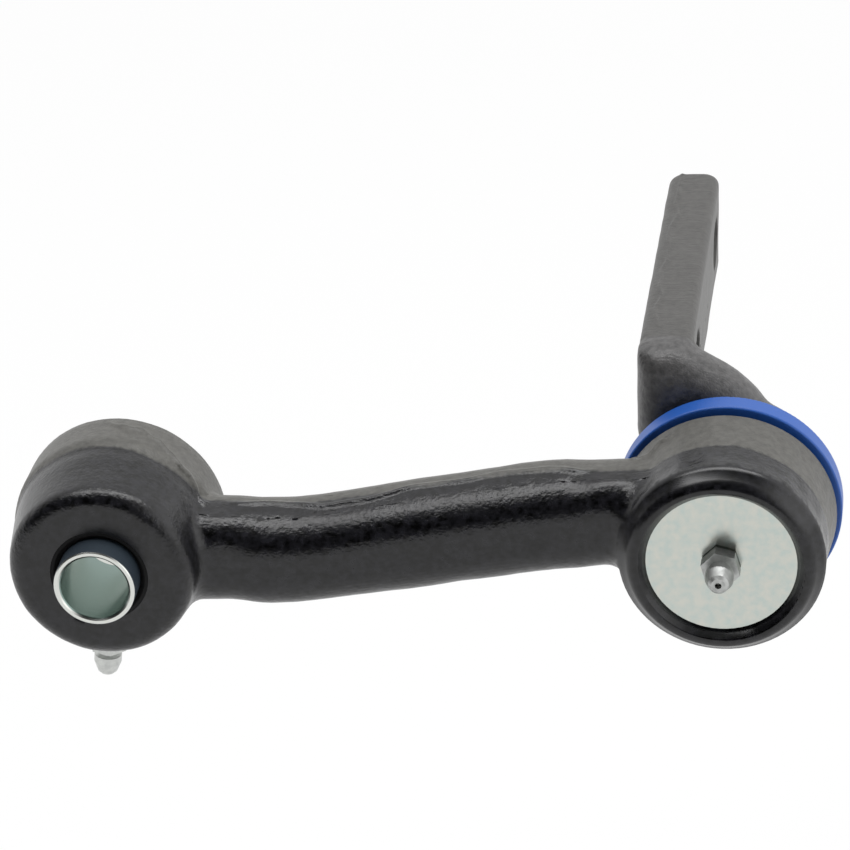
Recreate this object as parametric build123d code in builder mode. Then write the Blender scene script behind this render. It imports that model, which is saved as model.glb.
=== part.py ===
"""Steering idler arm with its frame bracket.

Millimetres. The pivot axis is the Y axis and the arm reaches along -X to the
link boss. Y = 0 is the outer face of the pivot cover plate, the bracket lies
behind it at +Y, and +Z is up.
"""

from build123d import *
import math
import os

os.makedirs("parts", exist_ok=True)

# Clearances
running_fit = 0.05
end_float = 0.05
cut_margin = 1.0

# Arm forging
centre_distance = 142.9
arm_height = 23.4
arm_depth = 19.6
arm_front_y = 3.8
arm_edge_round = 8.0
arm_root_round = 9.0
arm_blend_round = 4.0
link_root_drop = 2.4
pivot_root_rise = 6.0
lower_bend_x = -104.0
upper_bend_x = -40.0
lower_bend_radius = 170.0
upper_bend_radius = 140.0

# Flash land left by the trimming die
flash_proud = 0.35
flash_width = 4.4
flash_slope = 10.0
parting_y = 11.0

# Pivot boss
pivot_face_dia = 47.1
pivot_parting_dia = 47.4
pivot_rear_dia = 50.1
pivot_shoulder_y = 1.8
pivot_rear_y = 24.0
web_end_inset = 1.0
lip_opening_dia = 34.3
lip_crest_dia = 37.8
lip_shoulder_dia = 40.8
lip_root_dia = 45.8
lip_root_y = 1.2
lip_height = 2.2
lip_inner_round = 0.5
lip_outer_round = 2.2

# Pivot cover plate and grease chamber
cover_dia = 36.0
cover_thickness = 2.0
chamber_dia = 32.4
chamber_floor_y = 12.4

# Pivot journal on the bracket
journal_dia = 22.2
journal_end_dia = 20.0
journal_end_y = 5.5
journal_seat_depth = 2.2
journal_seat_dia = 9.0
journal_end_chamfer = 0.6
grease_way_dia = 4.0
cross_way_dia = 2.0

# Pivot bushes
bush_wall = 2.35
bush_flange_dia = 30.0
bush_flange_thickness = 2.0
pivot_bush_length = 5.4

# Pivot retention and preload
thrust_washer_dia = 30.4
thrust_washer_thickness = 2.0
ring_thickness = 1.75
ring_dia = 25.0
ring_groove_dia = 18.6
ring_gap_angle = 50.0
spring_thickness = 1.1
spring_dia = 28.0
spring_bore = 13.0
pad_thickness = 1.55
pad_dia = 27.0
pad_bore = 10.0

# Dust seal
seal_dia = 52.4
seal_thickness = 5.6
seal_front_gap = 1.9
seal_lip_width = 2.0
seal_lip_gap = 1.0
seal_rim_round = 0.5

# Link boss
link_face_dia = 42.5
link_parting_dia = 46.7
link_core_dia = 48.0
link_face_y = -4.2
link_rear_y = 28.0
link_front_round = 4.2
link_band_dia = 48.8
link_band_y = 14.2
link_band_crest_y = 17.0
link_band_rear_dia = 48.4
link_rear_round = 1.0

# Link sleeve, bushes and seals
sleeve_dia = 19.05
sleeve_bore = 15.9
sleeve_relief_bore = 16.9
sleeve_bore_length = 25.0
sleeve_protrusion = 5.8
sleeve_outer_chamfer = 0.35
sleeve_bore_chamfer = 0.55
link_bush_wall = 1.9
link_bush_length = 9.5
link_seal_width = 3.6
link_seal_recess = 0.1
link_seal_bevel = 1.1

# Grease fittings
fitting_shank_dia = 6.2
fitting_shank_length = 5.5
fitting_collar_height = 0.5
fitting_collar_dia = 7.4
fitting_hex = 7.94
fitting_hex_height = 3.2
fitting_hex_turn = -17.0
fitting_shank_chamfer = 0.5
fitting_neck_dia = 5.0
fitting_neck_height = 1.2
fitting_head_bevel = 0.6
fitting_head_dia = 6.5
fitting_head_height = 1.9
fitting_tip_dia = 4.7
fitting_tip_round = 0.7
fitting_length = 10.6
fitting_seat_depth = 1.6
fitting_orifice_dia = 1.5
fitting_chamber_dia = 2.3
check_ball_dia = 2.1
spring_wire = 0.3
spring_coil_dia = 1.7
spring_turns = 9
spring_foot_lift = 1.0
link_fitting_angle = -98.6
link_fitting_y = 11.5
link_fitting_seat_radius = 24.4
link_fitting_shank_showing = 1.2
link_spot_dia = 9.4

# Bracket forging
hub_dia = 41.0
hub_flange_dia = 38.0
hub_root_depth = 1.0
spigot_dia = 32.0
neck_thickness = 12.7
neck_setback = 2.5
neck_front_round = 7.0
neck_rear_round = 4.0
neck_slope_start_x = -11.0
neck_slope_end_x = 5.2
neck_slope_end_z = 25.3
neck_side_x = 11.5
neck_side_z = 14.0
neck_corner_round = 18.0
neck_crest_round = 6.0
neck_root_round = 5.0
neck_spread = 1.2
neck_spread_z = 15.0
bar_left_x = -20.4
bar_thickness = 12.7
bar_draft = 1.5
bar_width = 25.4
bar_top_z = 35.5
bar_end_y = 138.6
bar_edge_round = 2.4
bar_end_round = 4.0
bolt_hole_dia = 13.5
bolt_spacing = 63.5
bolt_end_distance = 16.5

# Places that follow from the sizes above
bush_bore = journal_dia + 2 * running_fit
pivot_bore = bush_bore + 2 * bush_wall
rear_flange_y = pivot_rear_y + bush_flange_thickness
spigot_face_y = rear_flange_y + end_float
journal_shoulder_y = chamber_floor_y - bush_flange_thickness - end_float
ring_groove_y = journal_shoulder_y - thrust_washer_thickness - ring_thickness
pad_rear_y = journal_end_y - end_float
pad_front_y = pad_rear_y - pad_thickness
seal_front_y = pivot_rear_y + seal_front_gap
hub_front_y = seal_front_y + seal_thickness
neck_front_y = hub_front_y + neck_setback
neck_rear_y = neck_front_y + neck_thickness
link_bush_bore = sleeve_dia + 2 * running_fit
link_bore = link_bush_bore + 2 * link_bush_wall
front_seal_y = link_face_y + link_seal_recess
rear_seal_y = link_rear_y - link_seal_recess - link_seal_width
front_bush_y = front_seal_y + link_seal_width
rear_bush_y = rear_seal_y - link_bush_length
sleeve_front_y = link_face_y - sleeve_protrusion
sleeve_rear_y = link_rear_y + sleeve_protrusion
web_end_dia = pivot_face_dia - 2 * web_end_inset
seal_lip_bore = bush_flange_dia + 2 * seal_lip_gap
hub_root_y = neck_front_y + neck_front_round + hub_root_depth
bar_right_x = bar_left_x + bar_thickness
bar_bottom_z = bar_top_z - bar_width
bar_centre_z = (bar_top_z + bar_bottom_z) / 2
grease_gap_y = (chamber_floor_y + pivot_rear_y) / 2
rear_bolt_y = bar_end_y - bolt_end_distance
front_bolt_y = rear_bolt_y - bolt_spacing

fitting_hex_top = fitting_collar_height + fitting_hex_height
fitting_neck_top = fitting_hex_top + fitting_neck_height
fitting_head_z = fitting_neck_top + fitting_head_bevel
ball_seat_z = fitting_length - fitting_seat_depth
ball_centre_z = ball_seat_z - math.sqrt(check_ball_dia ** 2 - fitting_orifice_dia ** 2) / 2
spring_foot_z = -fitting_shank_length + spring_foot_lift
coil_foot_z = spring_foot_z + spring_wire / 2
coil_top_z = ball_centre_z - math.sqrt(
    (check_ball_dia + spring_wire) ** 2 - spring_coil_dia ** 2
) / 2

pivot_axis = Axis((0, 0, 0), (0, 1, 0))
link_axis = Axis((-centre_distance, 0, 0), (0, 1, 0))
pivot_seat = Plane(origin=(0, 0, 0), x_dir=(1, 0, 0), z_dir=(0, -1, 0))
link_direction = Vector(1, 0, 0).rotate(Axis.Y, -link_fitting_angle)
link_centre = Vector(-centre_distance, link_fitting_y, 0)
link_seat = Plane(
    origin=link_centre + link_direction * link_fitting_seat_radius,
    x_dir=(0, 1, 0),
    z_dir=link_direction,
)
link_spot = link_seat.offset(-link_fitting_shank_showing)


def front_plane(y):
    """Plane seen from the front at depth y, with X right and Z up."""
    return Plane.XZ.offset(-y)


def tube_profile(inner_dia, outer_dia, start_y, end_y, axis_x=0.0):
    """Half section of a plain ring about an axis along Y."""
    width = (outer_dia - inner_dia) / 2
    with Locations((axis_x + inner_dia / 2, start_y)):
        Rectangle(width, end_y - start_y, align=(Align.MIN, Align.MIN))


# Arm forging: two bosses, the cranked web between them and the flash land
with BuildPart() as arm_forging:
    # Web outline with its flared roots, extruded and rounded front and back
    with BuildSketch(front_plane(arm_front_y)) as web_outline:
        with BuildLine() as web_path:
            FilletPolyline(
                (-centre_distance, -link_root_drop),
                (lower_bend_x, -link_root_drop),
                (upper_bend_x, pivot_root_rise),
                (0, pivot_root_rise),
                radius=[lower_bend_radius, upper_bend_radius],
            )
        trace(line_width=arm_height)
        with Locations((-centre_distance, 0)):
            Circle(link_face_dia / 2)
        Circle(web_end_dia / 2)
        link_roots = [
            v for v in vertices()
            if abs(math.hypot(v.X + centre_distance, v.Y) - link_face_dia / 2) < 0.01
            and v.X > -centre_distance and abs(v.Y) > arm_height / 4
        ]
        pivot_roots = [
            v for v in vertices()
            if abs(math.hypot(v.X, v.Y) - web_end_dia / 2) < 0.01 and v.X < 0 and abs(v.Y) > 0.1
        ]
        fillet(link_roots + pivot_roots, arm_root_round)
    extrude(amount=-arm_depth)
    web_edges = edges().filter_by(lambda e: e.bounding_box().size.Y < 0.01)
    fillet(web_edges, arm_edge_round)

    # Cores of the two bosses, drafted towards the front and blended into the web
    with BuildSketch() as link_core_profile:
        with BuildLine():
            Polyline(
                (-centre_distance, link_face_y),
                (-centre_distance - link_face_dia / 2, link_face_y),
                (-centre_distance - link_parting_dia / 2, parting_y),
                (-centre_distance - link_core_dia / 2, link_rear_y),
                (-centre_distance, link_rear_y),
                close=True,
            )
        make_face()
        face_corner = vertices().group_by(Axis.Y)[0].sort_by(Axis.X)[0]
        fillet(face_corner, link_front_round)
    revolve(axis=link_axis)
    link_joint = edges(Select.NEW)
    fillet(link_joint, arm_blend_round)
    with BuildSketch() as pivot_core_profile:
        with BuildLine():
            Polyline(
                (0, pivot_shoulder_y),
                (pivot_face_dia / 2, pivot_shoulder_y),
                (pivot_parting_dia / 2, parting_y),
                (pivot_rear_dia / 2, pivot_rear_y),
                (0, pivot_rear_y),
                close=True,
            )
        make_face()
    revolve(axis=pivot_axis)
    pivot_joint = edges(Select.NEW)
    fillet(pivot_joint, arm_blend_round)

    # Trimmed band round the back of the link boss
    with BuildSketch() as link_band_profile:
        with BuildLine():
            Polyline(
                (-centre_distance, link_band_y),
                (-centre_distance - link_parting_dia / 2, link_band_y),
                (-centre_distance - link_band_dia / 2, link_band_crest_y),
                (-centre_distance - link_band_rear_dia / 2, link_rear_y),
                (-centre_distance, link_rear_y),
                close=True,
            )
        make_face()
    revolve(axis=link_axis)
    rear_rim = edges(Select.NEW).sort_by(Axis.Y)[-1]
    fillet(rear_rim, link_rear_round)

    # Lip rolled over the cover plate, and its shoulder
    with BuildSketch() as lip_profile:
        with BuildLine():
            Polyline(
                (0, 0),
                (lip_opening_dia / 2, 0),
                (lip_crest_dia / 2, -lip_height),
                (lip_shoulder_dia / 2, -lip_height),
                (lip_root_dia / 2, lip_root_y),
                (pivot_face_dia / 2, pivot_shoulder_y),
                (0, pivot_shoulder_y),
                close=True,
            )
        make_face()
        crest, shoulder = vertices().group_by(Axis.Y)[0].sort_by(Axis.X)
        fillet(crest, lip_inner_round)
        fillet(shoulder, lip_outer_round)
    revolve(axis=pivot_axis)

    # Flash land, a low ridge along the parting plane of the web
    with BuildSketch(front_plane(parting_y)) as flash_outline:
        with BuildLine() as flash_path:
            FilletPolyline(
                (-centre_distance, -link_root_drop),
                (lower_bend_x, -link_root_drop),
                (upper_bend_x, pivot_root_rise),
                (0, pivot_root_rise),
                radius=[lower_bend_radius, upper_bend_radius],
            )
        trace(line_width=arm_height + 2 * flash_proud)
    extrude(amount=flash_width / 2, both=True, taper=flash_slope)

    # Cavity of the pivot boss, from the lip opening to the bush bore
    with BuildSketch() as pivot_cavity:
        tube_profile(0, lip_opening_dia, -2 * lip_height, 0)
        tube_profile(0, cover_dia, 0, cover_thickness)
        tube_profile(0, chamber_dia, cover_thickness, chamber_floor_y)
        tube_profile(0, pivot_bore, chamber_floor_y, pivot_rear_y + cut_margin)
    revolve(axis=pivot_axis, mode=Mode.SUBTRACT)

    # Bore of the link boss
    with BuildSketch() as link_cavity:
        tube_profile(
            0, link_bore, link_face_y - cut_margin, link_rear_y + cut_margin, -centre_distance
        )
    revolve(axis=link_axis, mode=Mode.SUBTRACT)

    # Spot face and hole for the link grease fitting
    with BuildSketch(link_spot) as spot_face:
        Circle(link_spot_dia / 2)
    spot_depth = link_band_dia / 2 - link_fitting_seat_radius + link_fitting_shank_showing
    extrude(amount=spot_depth, mode=Mode.SUBTRACT)
    with BuildSketch(link_seat) as fitting_hole:
        Circle(fitting_shank_dia / 2)
    extrude(amount=-link_fitting_seat_radius, mode=Mode.SUBTRACT)
arm_forging.part.label = "arm_forging"
export_step(arm_forging.part, "parts/arm_forging.step")


# Cover plate swaged into the pivot boss
with BuildPart() as pivot_cover_plate:
    with BuildSketch() as cover_profile:
        tube_profile(fitting_shank_dia, cover_dia, 0, cover_thickness)
    revolve(axis=pivot_axis)
pivot_cover_plate.part.label = "pivot_cover_plate"
export_step(pivot_cover_plate.part, "parts/pivot_cover_plate.step")


# Flanged bushes pressed into the pivot boss
with BuildPart() as pivot_front_bush:
    with BuildSketch() as front_bush_profile:
        tube_profile(
            bush_bore, pivot_bore, chamber_floor_y, chamber_floor_y + pivot_bush_length
        )
        tube_profile(
            bush_bore, bush_flange_dia, chamber_floor_y - bush_flange_thickness, chamber_floor_y
        )
    revolve(axis=pivot_axis)
pivot_front_bush.part.label = "pivot_front_bush"
export_step(pivot_front_bush.part, "parts/pivot_front_bush.step")

with BuildPart() as pivot_rear_bush:
    with BuildSketch() as rear_bush_profile:
        tube_profile(bush_bore, pivot_bore, pivot_rear_y - pivot_bush_length, pivot_rear_y)
        tube_profile(bush_bore, bush_flange_dia, pivot_rear_y, rear_flange_y)
    revolve(axis=pivot_axis)
pivot_rear_bush.part.label = "pivot_rear_bush"
export_step(pivot_rear_bush.part, "parts/pivot_rear_bush.step")


# Thrust washer and retaining ring that hold the journal in the boss
with BuildPart() as pivot_thrust_washer:
    with BuildSketch() as washer_profile:
        tube_profile(
            journal_end_dia + 2 * running_fit,
            thrust_washer_dia,
            journal_shoulder_y - thrust_washer_thickness,
            journal_shoulder_y,
        )
    revolve(axis=pivot_axis)
pivot_thrust_washer.part.label = "pivot_thrust_washer"
export_step(pivot_thrust_washer.part, "parts/pivot_thrust_washer.step")

with BuildPart() as pivot_retaining_ring:
    with BuildSketch(front_plane(ring_groove_y)) as ring_outline:
        Circle(ring_dia / 2)
        Circle(ring_groove_dia / 2, mode=Mode.SUBTRACT)
        with BuildLine():
            gap_reach = ring_dia
            half_gap = math.radians(ring_gap_angle / 2)
            Polyline(
                (0, 0),
                (gap_reach * math.sin(half_gap), gap_reach * math.cos(half_gap)),
                (-gap_reach * math.sin(half_gap), gap_reach * math.cos(half_gap)),
                close=True,
            )
        make_face(mode=Mode.SUBTRACT)
    extrude(amount=-ring_thickness)
pivot_retaining_ring.part.label = "pivot_retaining_ring"
export_step(pivot_retaining_ring.part, "parts/pivot_retaining_ring.step")


# Disc spring and pressure pad that take up play at the journal's end
with BuildPart() as pivot_disc_spring:
    with BuildSketch() as spring_profile:
        with BuildLine():
            Polyline(
                (spring_dia / 2, cover_thickness),
                (spring_dia / 2, cover_thickness + spring_thickness),
                (spring_bore / 2, pad_front_y),
                (spring_bore / 2, pad_front_y - spring_thickness),
                close=True,
            )
        make_face()
    revolve(axis=pivot_axis)
pivot_disc_spring.part.label = "pivot_disc_spring"
export_step(pivot_disc_spring.part, "parts/pivot_disc_spring.step")

with BuildPart() as pivot_pressure_pad:
    with BuildSketch() as pad_profile:
        tube_profile(pad_bore, pad_dia, pad_front_y, pad_rear_y)
    revolve(axis=pivot_axis)
pivot_pressure_pad.part.label = "pivot_pressure_pad"
export_step(pivot_pressure_pad.part, "parts/pivot_pressure_pad.step")


# Dust seal: a thick washer with a thin lip that wipes the back of the boss
with BuildPart() as dust_seal:
    with BuildSketch() as seal_profile:
        tube_profile(spigot_dia, seal_dia, seal_front_y, hub_front_y)
        tube_profile(
            seal_lip_bore, seal_lip_bore + 2 * seal_lip_width,
            pivot_rear_y + end_float, seal_front_y,
        )
    revolve(axis=pivot_axis)
    rim_edges = edges().filter_by(GeomType.CIRCLE).filter_by(
        lambda e: abs(e.radius - seal_dia / 2) < 0.01
    )
    fillet(rim_edges, seal_rim_round)
dust_seal.part.label = "dust_seal"
export_step(dust_seal.part, "parts/dust_seal.step")


# Bar of the bracket: a drafted section along the pivot axis with two bolt holes
with BuildPart() as bracket_bar:
    with BuildSketch(front_plane(neck_front_y + neck_front_round)) as bar_section:
        with BuildLine():
            Polyline(
                (bar_left_x, bar_top_z),
                (bar_right_x, bar_top_z),
                (bar_right_x - bar_draft, bar_bottom_z),
                (bar_left_x, bar_bottom_z),
                close=True,
            )
        make_face()
    extrude(amount=neck_front_y + neck_front_round - bar_end_y)
    end_corners = edges().filter_by(lambda e: e.center().Y > bar_end_y - 0.01).filter_by(
        lambda e: e.bounding_box().size.Z > bar_width / 2
    )
    fillet(end_corners, bar_end_round)
    long_edges = faces().sort_by(Axis.Z)[-1].edges() + faces().sort_by(Axis.Z)[0].edges()
    fillet(long_edges.filter_by(lambda e: e.center().Y > neck_rear_y), bar_edge_round)
    with BuildSketch(Plane.YZ.offset(bar_left_x)) as bolt_holes:
        with Locations((rear_bolt_y, bar_centre_z), (front_bolt_y, bar_centre_z)):
            Circle(bolt_hole_dia / 2)
    extrude(amount=bar_thickness, mode=Mode.SUBTRACT)


# Bracket forging: journal, spigot, hub, neck and the bar that bolts to the frame
with BuildPart() as bracket_forging:
    # Neck outline rising from the hub to the bar
    with BuildSketch(front_plane(neck_front_y)) as neck_outline:
        Circle(hub_dia / 2)
        with BuildLine():
            Polyline(
                (-hub_dia / 2, 0),
                (bar_left_x - neck_spread, neck_spread_z),
                (bar_left_x, bar_top_z),
                (neck_slope_start_x, bar_top_z),
                (neck_slope_end_x, neck_slope_end_z),
                (neck_side_x, neck_side_z),
                (0, 0),
                close=True,
            )
        make_face()
        slope_top = vertices().sort_by_distance((neck_slope_start_x, bar_top_z))[0]
        fillet(slope_top, neck_crest_round)
        slope_foot = vertices().sort_by_distance((neck_slope_end_x, neck_slope_end_z))[0]
        side_bulge = vertices().sort_by_distance((bar_left_x - neck_spread, neck_spread_z))[0]
        fillet([slope_foot, side_bulge], neck_corner_round)
        hub_corner = vertices().filter_by(
            lambda v: v.X > 0 and abs(math.hypot(v.X, v.Y) - hub_dia / 2) < 0.01 and v.Y > 1
        )
        fillet(hub_corner, neck_root_round)
    extrude(amount=-neck_thickness)
    front_edges = faces().sort_by(Axis.Y)[0].edges()
    fillet(front_edges, neck_front_round)
    rear_edges = faces().sort_by(Axis.Y)[-1].edges()
    fillet(rear_edges, neck_rear_round)
    add(bracket_bar.part)

    # Journal with its ring groove, the spigot that carries the seal, and the hub
    with BuildSketch() as journal_profile:
        with BuildLine():
            Polyline(
                (0, journal_end_y),
                (journal_end_dia / 2 - journal_end_chamfer, journal_end_y),
                (journal_end_dia / 2, journal_end_y + journal_end_chamfer),
                (journal_end_dia / 2, ring_groove_y),
                (ring_groove_dia / 2, ring_groove_y),
                (ring_groove_dia / 2, ring_groove_y + ring_thickness),
                (journal_end_dia / 2, ring_groove_y + ring_thickness),
                (journal_end_dia / 2, journal_shoulder_y),
                (journal_dia / 2, journal_shoulder_y),
                (journal_dia / 2, spigot_face_y),
                (spigot_dia / 2, spigot_face_y),
                (spigot_dia / 2, hub_front_y),
                (hub_flange_dia / 2, hub_front_y),
                (hub_flange_dia / 2, hub_root_y),
                (0, hub_root_y),
                close=True,
            )
        make_face()
    revolve(axis=pivot_axis)

    # Grease way along the journal and out between the bushes
    with BuildSketch() as grease_way:
        tube_profile(
            0, journal_seat_dia, journal_end_y - cut_margin, journal_end_y + journal_seat_depth
        )
        tube_profile(0, grease_way_dia, journal_end_y, grease_gap_y + grease_way_dia)
    revolve(axis=pivot_axis, mode=Mode.SUBTRACT)
    with BuildSketch(Plane.XY) as cross_way:
        with Locations((0, grease_gap_y)):
            Circle(cross_way_dia / 2)
    extrude(amount=journal_dia, both=True, mode=Mode.SUBTRACT)
bracket_forging.part.label = "bracket_forging"
export_step(bracket_forging.part, "parts/bracket_forging.step")


# Steel sleeve that the centre link is bolted through
with BuildPart() as link_sleeve:
    with BuildSketch() as sleeve_profile:
        with BuildLine():
            inner = -centre_distance + sleeve_bore / 2
            relief = -centre_distance + sleeve_relief_bore / 2
            outer = -centre_distance + sleeve_dia / 2
            relief_y = sleeve_front_y + sleeve_bore_length
            Polyline(
                (inner + sleeve_bore_chamfer, sleeve_front_y),
                (outer - sleeve_outer_chamfer, sleeve_front_y),
                (outer, sleeve_front_y + sleeve_outer_chamfer),
                (outer, sleeve_rear_y - sleeve_outer_chamfer),
                (outer - sleeve_outer_chamfer, sleeve_rear_y),
                (relief, sleeve_rear_y),
                (relief, relief_y),
                (inner, relief_y),
                (inner, sleeve_front_y + sleeve_bore_chamfer),
                close=True,
            )
        make_face()
    revolve(axis=link_axis)
link_sleeve.part.label = "link_sleeve"
export_step(link_sleeve.part, "parts/link_sleeve.step")


# Bushes and seals between the sleeve and the link boss
with BuildPart() as link_front_bush:
    with BuildSketch() as link_front_bush_profile:
        tube_profile(
            link_bush_bore, link_bore, front_bush_y, front_bush_y + link_bush_length,
            -centre_distance,
        )
    revolve(axis=link_axis)
link_front_bush.part.label = "link_front_bush"
export_step(link_front_bush.part, "parts/link_front_bush.step")

with BuildPart() as link_rear_bush:
    with BuildSketch() as link_rear_bush_profile:
        tube_profile(
            link_bush_bore, link_bore, rear_bush_y, rear_bush_y + link_bush_length,
            -centre_distance,
        )
    revolve(axis=link_axis)
link_rear_bush.part.label = "link_rear_bush"
export_step(link_rear_bush.part, "parts/link_rear_bush.step")

with BuildPart() as link_front_seal:
    with BuildSketch() as link_front_seal_profile:
        tube_profile(
            link_bush_bore, link_bore, front_seal_y, front_seal_y + link_seal_width,
            -centre_distance,
        )
        front_mouth = vertices().group_by(Axis.Y)[0].sort_by(Axis.X)[0]
        chamfer(front_mouth, link_seal_bevel)
    revolve(axis=link_axis)
link_front_seal.part.label = "link_front_seal"
export_step(link_front_seal.part, "parts/link_front_seal.step")

with BuildPart() as link_rear_seal:
    with BuildSketch() as link_rear_seal_profile:
        tube_profile(
            link_bush_bore, link_bore, rear_seal_y, rear_seal_y + link_seal_width,
            -centre_distance,
        )
        rear_mouth = vertices().group_by(Axis.Y)[-1].sort_by(Axis.X)[0]
        chamfer(rear_mouth, link_seal_bevel)
    revolve(axis=link_axis)
link_rear_seal.part.label = "link_rear_seal"
export_step(link_rear_seal.part, "parts/link_rear_seal.step")


# Grease fitting about +Z with its seat at Z = 0: shank, hexagon, neck and head
with BuildPart() as fitting_body:
    with BuildSketch(Plane.XZ) as fitting_profile:
        with BuildLine():
            Polyline(
                (0, -fitting_shank_length),
                (fitting_shank_dia / 2 - fitting_shank_chamfer, -fitting_shank_length),
                (fitting_shank_dia / 2, fitting_shank_chamfer - fitting_shank_length),
                (fitting_shank_dia / 2, 0),
                (fitting_collar_dia / 2, 0),
                (fitting_collar_dia / 2, fitting_hex_top),
                (fitting_neck_dia / 2, fitting_hex_top),
                (fitting_neck_dia / 2, fitting_neck_top),
                (fitting_head_dia / 2, fitting_head_z),
                (fitting_head_dia / 2, fitting_head_z + fitting_head_height),
                (fitting_tip_dia / 2, fitting_length - fitting_tip_round),
                (fitting_tip_dia / 2 - fitting_tip_round, fitting_length),
                (0, fitting_length),
                close=True,
            )
        make_face()
    revolve(axis=Axis.Z)
    with BuildSketch(Plane.XY.offset(fitting_collar_height)) as hexagon:
        RegularPolygon(fitting_hex / 2, 6, major_radius=False, rotation=fitting_hex_turn)
    extrude(amount=fitting_hex_height)
    with BuildSketch(Plane.XZ) as fitting_bore:
        with BuildLine():
            Polyline(
                (0, fitting_length + cut_margin),
                (fitting_orifice_dia / 2, fitting_length + cut_margin),
                (fitting_orifice_dia / 2, ball_seat_z),
                (fitting_chamber_dia / 2, ball_seat_z),
                (fitting_chamber_dia / 2, spring_foot_z),
                (fitting_orifice_dia / 2, spring_foot_z),
                (fitting_orifice_dia / 2, -fitting_shank_length - cut_margin),
                (0, -fitting_shank_length - cut_margin),
                close=True,
            )
        make_face()
    revolve(axis=Axis.Z, mode=Mode.SUBTRACT)

with BuildPart() as check_ball:
    with Locations((0, 0, ball_centre_z)):
        Sphere(check_ball_dia / 2)

with BuildPart() as fitting_spring:
    with BuildLine() as coil:
        Helix(
            pitch=(coil_top_z - coil_foot_z) / spring_turns,
            height=coil_top_z - coil_foot_z,
            radius=spring_coil_dia / 2,
            center=(0, 0, coil_foot_z),
        )
    with BuildSketch(Plane(origin=coil.line @ 0, z_dir=coil.line % 0)) as wire_section:
        Circle(spring_wire / 2)
    sweep(is_frenet=True)

pivot_fitting_body = pivot_seat.location * fitting_body.part
pivot_fitting_body.label = "pivot_fitting_body"
export_step(pivot_fitting_body, "parts/pivot_fitting_body.step")
pivot_check_ball = pivot_seat.location * check_ball.part
pivot_check_ball.label = "pivot_check_ball"
export_step(pivot_check_ball, "parts/pivot_check_ball.step")
pivot_fitting_spring = pivot_seat.location * fitting_spring.part
pivot_fitting_spring.label = "pivot_fitting_spring"
export_step(pivot_fitting_spring, "parts/pivot_fitting_spring.step")

link_fitting_body = link_seat.location * fitting_body.part
link_fitting_body.label = "link_fitting_body"
export_step(link_fitting_body, "parts/link_fitting_body.step")
link_check_ball = link_seat.location * check_ball.part
link_check_ball.label = "link_check_ball"
export_step(link_check_ball, "parts/link_check_ball.step")
link_fitting_spring = link_seat.location * fitting_spring.part
link_fitting_spring.label = "link_fitting_spring"
export_step(link_fitting_spring, "parts/link_fitting_spring.step")
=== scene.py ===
"""Studio scene of a forged steering idler arm with its frame bracket.

The part's own frame holds throughout: the pivot axis is Y, the arm reaches
along -X to the link boss, and +Z is up. Objects are in metres; the sizes of
the part's pieces are written in millimetres.
"""

import logging
import math
from dataclasses import dataclass
from enum import Enum
from typing import Any, Callable, Sequence

import bmesh
import bpy
from mathutils import Matrix, Vector, noise
from mathutils.bvhtree import BVHTree


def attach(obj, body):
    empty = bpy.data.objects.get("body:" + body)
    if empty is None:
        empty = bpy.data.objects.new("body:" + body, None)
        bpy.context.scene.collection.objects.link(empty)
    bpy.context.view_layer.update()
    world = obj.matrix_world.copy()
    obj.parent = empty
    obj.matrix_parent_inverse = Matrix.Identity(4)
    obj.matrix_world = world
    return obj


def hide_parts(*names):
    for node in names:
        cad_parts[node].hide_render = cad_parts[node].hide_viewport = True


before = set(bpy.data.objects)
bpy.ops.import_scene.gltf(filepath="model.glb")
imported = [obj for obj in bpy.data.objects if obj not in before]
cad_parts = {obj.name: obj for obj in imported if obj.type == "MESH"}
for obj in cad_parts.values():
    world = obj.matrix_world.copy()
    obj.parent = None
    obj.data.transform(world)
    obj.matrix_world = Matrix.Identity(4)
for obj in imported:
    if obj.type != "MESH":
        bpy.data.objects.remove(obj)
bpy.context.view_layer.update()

MM = 0.001
LINK_X_MM = -142.9
FRAME_PIXELS = 850
NOISE_SPAN = (0.35, 0.65)  # where nearly all of a noise texture's values lie
WHOLE_EDGE = 99.0  # an edge limit, in millimetres, that leaves a face as it is packed
REFINE_ROUNDS = 9
SHARP_DEGREES = 32.0
SMOOTH = {"interpolation_type": "SMOOTHSTEP"}

logging.basicConfig(level=logging.INFO, format="%(message)s")
log = logging.getLogger("idler_arm")


class Body(Enum):
    """The moving bodies that the scene's own pieces ride on."""

    ARM = "arm"
    BRACKET = "bracket"


class Boss(Enum):
    """The two bosses that carry a grease fitting."""

    PIVOT = "pivot"
    LINK = "link"


def linear(hex_colour: str) -> tuple[float, float, float, float]:
    """Turns an sRGB hex colour into linear RGBA.

    Args:
        hex_colour: A colour such as "#8a8f94".

    Returns:
        Red, green, blue and an alpha of 1, all linear.
    """
    digits = hex_colour.lstrip("#")
    channels = [int(digits[i:i + 2], 16) / 255 for i in (0, 2, 4)]
    values = [c / 12.92 if c <= 0.04045 else ((c + 0.055) / 1.055) ** 2.4 for c in channels]
    return (values[0], values[1], values[2], 1.0)


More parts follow.
